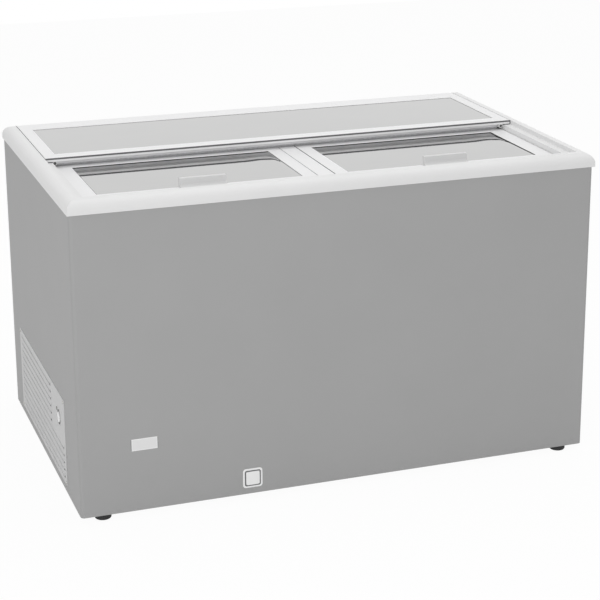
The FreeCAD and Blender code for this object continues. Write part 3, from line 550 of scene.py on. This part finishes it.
def makeBrush():  # one row of tufts, each leaning its own way, repeated along the rail
    low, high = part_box("rail_brush")
    top = high.z - brush["holder"]
    holder = addBox((low.x, low.y, top), high)
    bevel(holder, brush["edge"])
    chance = random.Random(brush["seed"])
    rows = round((high.x - low.x) / brush["pitch"] / brush["row"])
    pitch = (high.x - low.x) / rows / brush["row"]
    tufts = []
    for i in range(brush["row"]):
        place = (low.x + (i + 0.5) * pitch, (low.y + high.y) / 2, (top + low.z) / 2)
        lean = [chance.uniform(-1, 1) * brush["lean"] for axis in range(2)]
        tufts.append(makeTuft(place, top - low.z, lean))
    row = joinPieces(tufts)
    repeat = row.modifiers.new("Repeat", "ARRAY")
    repeat.count = rows
    repeat.use_relative_offset = False
    repeat.use_constant_offset = True
    repeat.constant_offset_displace = (pitch * brush["row"], 0, 0)
    applyModifiers(row)
    whole = joinPieces([holder, row])
    # the brush's dark mottle is painted shade between the tufts
    return finishPiece(whole, "railBrush", finish["nylonBristleAndShade"], "cabinet", ["rail_brush"])


makeRailStrip()
makeRailWeb()
makeBrush()
print("cross rail dressed")


# Dark rings of painted shade: on the bosses of the rail's brackets, where their holes lie in shade; round
# the drain cap, in its shadowed groove; at the edge of the dial's pocket

faceFront = (math.radians(90), 0, 0)
faceSide = (0, math.radians(90), 0)
ringSides = 72
bossShadeRing = {"fromEnd": 26 * mm, "outer": 3.6 * mm, "inner": 1.6 * mm, "depth": 0.6 * mm, "edge": 0.1 * mm}
drainGrooveShade = {"width": 3.2 * mm, "proud": 0.15 * mm, "depth": 1.2 * mm, "corner": 5 * mm, "cornerSteps": 6,
             "overlap": 0.1 * mm}


def makeRing(centre, size, turn):
    ring = addCylinder(centre, size["outer"], size["depth"], ringSides, turn)
    selectFaces(ring, lambda face: len(face.vertices) > manySides)
    bpy.ops.mesh.inset(thickness=size["outer"] - size["inner"])
    bpy.ops.mesh.bridge_edge_loops()
    endEdit()
    bevel(ring, size["edge"])
    return ring


# painted shade: black rings on the bracket bosses stand for the dark of their holes
def makeBossShadeRings():
    low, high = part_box("rail_brackets")
    places = [(x, low.y, (low.z + high.z) / 2)
              for x in (low.x + bossShadeRing["fromEnd"], high.x - bossShadeRing["fromEnd"])]
    rings = [makeRing(place, bossShadeRing, faceFront) for place in places]
    return finishPiece(joinPieces(rings), "bossShadeRings", finish["blackNylon"], "cabinet")


# painted shade: a grey rubber ring standing for the shadowed groove between the cap and its bezel
def makeDrainGrooveShade():  # rounded square, between the cap and the border of its bezel
    low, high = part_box("drain_cap")
    reach = drainGrooveShade["width"]
    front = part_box("drain_bezel")[0].y - drainGrooveShade["proud"]
    seal = addBox((low.x - reach, front, low.z - reach),
                  (high.x + reach, front + drainGrooveShade["depth"], high.z + reach))
    selectEdges(seal, lambda edge: abs(edge.y) > straight * edge.length)
    bpy.ops.mesh.bevel(offset=drainGrooveShade["corner"], segments=drainGrooveShade["cornerSteps"], affect="EDGES")
    endEdit()
    selectFaces(seal, lambda face: abs(face.normal.y) > straight)
    bpy.ops.mesh.inset(thickness=reach - drainGrooveShade["overlap"])
    bpy.ops.mesh.bridge_edge_loops()
    endEdit()
    smooth(seal)
    return finishPiece(seal, "drainGrooveShade", finish["greyRubber"], "cabinet")


makeBossShadeRings()
makeDrainGrooveShade()
print("rings made")


# Bare plate on the front: a raised border round a flat field, on a thin rubber pad whose grey edge is
# painted shade at the plate's sides

plate = {"border": 2.2 * mm, "recess": 0.35 * mm, "edge": 0.3 * mm, "fieldBack": 0.2 * mm,
         "fieldEdge": 0.05 * mm, "edgeShadeBeyond": 1.2 * mm, "edgeShadeThickness": 0.6 * mm, "edgeShadeRound": 0.2 * mm}


def makePlate():
    low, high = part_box("badge_plate")
    piece = addBox(low, high)
    selectFaces(piece, lambda face: face.normal.y < -towards)
    bpy.ops.mesh.inset(thickness=plate["border"], depth=-plate["recess"])
    endEdit()
    bevel(piece, plate["edge"])
    return finishPiece(piece, "badgePlate", finish["glossyAbs"], "cabinet", ["badge_plate"])


def makePlateField():
    low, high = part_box("badge_plate")
    inset = plate["border"]
    field = addBox((low.x + inset, low.y + plate["fieldBack"], low.z + inset),
                   (high.x - inset, low.y + plate["recess"], high.z - inset))
    bevel(field, plate["fieldEdge"])
    return finishPiece(field, "badgeField", finish["whiteAbs"], "cabinet")


# painted shade: the pad's grey edge stands for the shadow line at the plate's left and right
def makePlateEdgeShade():  # shows as a thin line at the plate's left and right
    low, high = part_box("badge_plate")
    beyond = plate["edgeShadeBeyond"]
    pad = addBox((low.x - beyond, high.y - plate["edgeShadeThickness"], low.z + beyond),
                 (high.x + beyond, high.y, high.z - beyond))
    bevel(pad, plate["edgeShadeRound"])
    return finishPiece(pad, "badgeEdgeShade", finish["greyRubber"], "cabinet")


makePlate()
makePlateField()
makePlateEdgeShade()


# Pan-head screws with a cross recess: grille corners and the edges of the rear sheet

screw = {"radius": 4 * mm, "height": 2 * mm, "sides": 28, "dome": 1.2 * mm, "domeSteps": 3,
         "slot": 1.0 * mm, "slotLength": 4.4 * mm, "slotDepth": 1.1 * mm, "cutAbove": 1 * mm}
rearScrew = {"inset": 14 * mm, "across": 5, "up": 3}
grilleHood = 2.2 * mm  # how far the louvres stand out from the grille's face
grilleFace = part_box("side_grille")[0].x + grilleHood


def makeScrewHead():  # head on the Z axis, seat at the origin
    head = addCylinder((0, 0, screw["height"] / 2), screw["radius"], screw["height"], screw["sides"])
    selectFaces(head, lambda face: face.normal.z > towards)
    bpy.ops.mesh.bevel(offset=screw["dome"], segments=screw["domeSteps"], affect="EDGES")
    endEdit()
    floor = screw["height"] - screw["slotDepth"]
    top = screw["height"] + screw["cutAbove"]
    for length, width in ((screw["slotLength"], screw["slot"]), (screw["slot"], screw["slotLength"])):
        cutter = addBox((-length / 2, -width / 2, floor), (length / 2, width / 2, top))
        cut = head.modifiers.new("Recess", "BOOLEAN")
        cut.operation = "DIFFERENCE"
        cut.object = cutter
        cut.solver = "EXACT"
        applyModifiers(head)
        bpy.data.objects.remove(cutter)
    smooth(head)
    return head


def placeScrews(master, places, turn):  # copies of the head at each place, its axis turned
    pieces = []
    for place in places:
        copy = master.copy()
        copy.data = master.data.copy()
        copy.data.transform(Matrix.Translation(place) @ turn)
        bpy.context.scene.collection.objects.link(copy)
        pieces.append(copy)
    return joinPieces(pieces)


def evenly(low, high, count):  # places from low to high, both ends included
    return [low + i * (high - low) / (count - 1) for i in range(count)]


def makeGrilleScrews(head):
    low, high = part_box("grille_screws")
    radius = screw["radius"]
    corners = [(grilleFace, y, z) for y in (low.y + radius, high.y - radius)
               for z in (low.z + radius, high.z - radius)]
    screws = placeScrews(head, corners, Matrix.Rotation(math.radians(-90), 4, "Y"))
    return finishPiece(screws, "grilleScrews", finish["zincScrew"], "cabinet",
                       ["grille_screws"])


def makeRearScrews(head):
    low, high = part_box("rear_sheet")
    inset = rearScrew["inset"]
    left, right, bottom, top = low.x + inset, high.x - inset, low.z + inset, high.z - inset
    spots = [(x, high.y, z) for x in evenly(left, right, rearScrew["across"]) for z in (bottom, top)]
    between = evenly(bottom, top, rearScrew["up"] + 2)[1:-1]
    spots += [(x, high.y, z) for z in between for x in (left, right)]
    screws = placeScrews(head, spots, Matrix.Rotation(math.radians(-90), 4, "X"))
    return finishPiece(screws, "rearScrews", finish["zincScrew"], "cabinet")


head = makeScrewHead()
makeGrilleScrews(head)
makeRearScrews(head)
bpy.data.objects.remove(head)
print("plate and screws made")


# Temperature dial with finger flutes and a raised pointer, the scale round its pocket, and the lamp

dial = {"flutes": 20, "fluteInset": 0.4 * mm, "fluteDepth": 0.7 * mm, "chamfer": 1.2 * mm,
        "crown": 0.2 * mm, "edge": 0.25 * mm}
pointer = {"width": 2 * mm, "height": 0.8 * mm, "fromCentre": 1 * mm, "fromRim": 2 * mm, "sunk": 0.2 * mm}
scale = {"ticks": 8, "from": -135, "to": 135, "radius": 22.5 * mm, "length": 3 * mm, "width": 0.9 * mm,
         "height": 0.3 * mm, "sunk": 0.1 * mm}
pocketShadeRing = {"outer": 19.6 * mm, "inner": 18.4 * mm, "depth": 0.5 * mm, "edge": 0.1 * mm}
lamp = {"depth": 1.4 * mm, "sides": 40, "dome": 1.1 * mm, "domeSteps": 4}


def makeDial():
    low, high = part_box("thermostat_knob")
    radius = (high.y - low.y) / 2
    centre = middle(low, high)
    front = low.x + pointer["height"]
    knob = addCylinder(((high.x + front) / 2, centre.y, centre.z), radius, high.x - front,
                       dial["flutes"] * 2, faceSide)
    selectFaces(knob, lambda face: abs(face.normal.x) < towards and face.index % 2 == 0)
    bpy.ops.mesh.inset(thickness=dial["fluteInset"], depth=-dial["fluteDepth"], use_individual=True)
    endEdit()
    selectFaces(knob, lambda face: face.normal.x < -straight and len(face.vertices) > manySides)
    bpy.ops.mesh.inset(thickness=dial["chamfer"])
    bpy.ops.transform.translate(value=(-dial["crown"], 0, 0))
    endEdit()
    bevel(knob, dial["edge"])
    half = pointer["width"] / 2
    mark = addBox((low.x, centre.y - half, centre.z + pointer["fromCentre"]),
                  (front + pointer["sunk"], centre.y + half, centre.z + radius - pointer["fromRim"]))
    bevel(mark, dial["edge"])
    whole = joinPieces([knob, mark])
    return finishPiece(whole, "dialKnob", finish["dialAbs"], "dial", ["thermostat_knob"])


def pocketCentre():
    centre = middle(*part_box("thermostat_knob"))
    return Vector((grilleFace, centre.y, centre.z))


def makeScale():
    pieces = []
    for degrees in evenly(scale["from"], scale["to"], scale["ticks"]):
        tick = addBox((-scale["height"], -scale["width"] / 2, scale["radius"]),
                      (scale["sunk"], scale["width"] / 2, scale["radius"] + scale["length"]))
        turn = Matrix.Rotation(math.radians(degrees), 4, "X")
        tick.data.transform(Matrix.Translation(pocketCentre()) @ turn)
        pieces.append(tick)
    whole = joinPieces(pieces)
    return finishPiece(whole, "dialScale", finish["greyRubber"], "cabinet")


# painted shade: a black ring at the edge of the dial's pocket stands for the shade inside the recess
def makePocketShadeRing():
    ring = makeRing(pocketCentre(), pocketShadeRing, faceSide)
    return finishPiece(ring, "pocketShadeRing", finish["blackNylon"], "cabinet")


def makeLamp():
    low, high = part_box("pilot_lamp")
    centre = middle(low, high)
    lens = addCylinder((low.x + lamp["depth"] / 2, centre.y, centre.z), (high.y - low.y) / 2,
                       lamp["depth"], lamp["sides"], faceSide)
    selectFaces(lens, lambda face: face.normal.x < -straight)
    bpy.ops.mesh.bevel(offset=lamp["dome"], segments=lamp["domeSteps"], affect="EDGES")
    endEdit()
    smooth(lens)
    return finishPiece(lens, "pilotLens", finish["smokedLens"], "cabinet", ["pilot_lamp"])


makeDial()
makeScale()
makePocketShadeRing()
makeLamp()
print("dial, scale and lamp made")


# Floor, light and camera

plainWhite = (1, 1, 1, 1)
ground = {"size": 14, "colour": "#FCFCFC", "whiteShare": 0.95}
worldLevel = 0.55
softboxes = {  # place, size and power of each
    "keyBox": {"place": (-2.7, -4.4, 2.4), "size": 2.4, "power": 60},
    "topBox": {"place": (0.4, 0.2, 4.2), "size": 3.4, "power": 50},
}
lightAim = Vector((0, 0, 0.5))
view = {"azimuth": -20.094, "elevation": 16.569, "distance": 5.114, "target": (0.2095, 0.236, 0.4573),
        "lens": 105.84, "shift": (-0.0533, -0.1), "clipEnd": 50}


def either(owner, first, second):
    both = addNode(owner, "ShaderNodeMath", {0: first, 1: second}, operation="MAXIMUM")
    return both.outputs[0]


def makeFloor():  # pale, white to the camera but for a share of its shadow
    bpy.ops.object.select_all(action="DESELECT")
    bpy.ops.mesh.primitive_plane_add(size=ground["size"], location=(0, 0, 0))
    floor = bpy.context.object
    floor.name = "floor"
    material = startMaterial("paleFloor")
    ray = addNode(material, "ShaderNodeLightPath")
    painted = addNode(material, "ShaderNodeBsdfDiffuse", {"Color": srgb(ground["colour"])})
    white = addNode(material, "ShaderNodeEmission", {"Color": plainWhite, "Strength": 1.0})
    seen = either(material, ray.outputs["Is Camera Ray"], ray.outputs["Is Glossy Ray"])
    share = addNode(material, "ShaderNodeMath", {0: seen, 1: ground["whiteShare"]}, operation="MULTIPLY")
    mixed = addNode(material, "ShaderNodeMixShader", {0: share.outputs[0], 1: painted.outputs[0],
                                                      2: white.outputs[0]})
    endMaterial(material, mixed)
    floor.data.materials.append(material)


def makeWorld():
    world = bpy.data.worlds.new("studio")
    bpy.context.scene.world = world
    world.use_nodes = True
    world.node_tree.nodes.clear()
    ray = addNode(world, "ShaderNodeLightPath")
    seen = either(world, ray.outputs["Is Camera Ray"], ray.outputs["Is Glossy Ray"])
    clear = either(world, seen, ray.outputs["Is Transmission Ray"])
    lit = addNode(world, "ShaderNodeBackground", {"Color": plainWhite, "Strength": worldLevel})
    white = addNode(world, "ShaderNodeBackground", {"Color": plainWhite, "Strength": 1.0})
    mixed = addNode(world, "ShaderNodeMixShader", {0: clear, 1: lit.outputs[0], 2: white.outputs[0]})
    addNode(world, "ShaderNodeOutputWorld", {"Surface": mixed.outputs[0]})


def makeSoftbox(name, box):
    light = bpy.data.lights.new(name, "AREA")
    light.size = box["size"]
    light.energy = box["power"]
    holder = bpy.data.objects.new(name, light)
    bpy.context.scene.collection.objects.link(holder)
    holder.location = box["place"]
    aim = lightAim - Vector(box["place"])
    holder.rotation_euler = aim.to_track_quat("-Z", "Y").to_euler()


def makeCamera():  # no roll, and only as much lens shift as the photo's framing needs
    data = bpy.data.cameras.new("camera")
    data.lens = view["lens"]
    data.shift_x, data.shift_y = view["shift"]
    data.clip_end = view["clipEnd"]
    camera = bpy.data.objects.new("camera", data)
    bpy.context.scene.collection.objects.link(camera)
    turn = Euler((math.radians(90 - view["elevation"]), 0, math.radians(view["azimuth"]))).to_matrix()
    camera.location = Vector(view["target"]) + turn @ Vector((0, 0, view["distance"]))
    camera.rotation_euler = turn.to_euler()
    bpy.context.scene.camera = camera


makeFloor()
makeWorld()
for name, box in softboxes.items():
    makeSoftbox(name, box)
makeCamera()
bpy.context.scene.view_settings.view_transform = "Standard"
print("stage set")
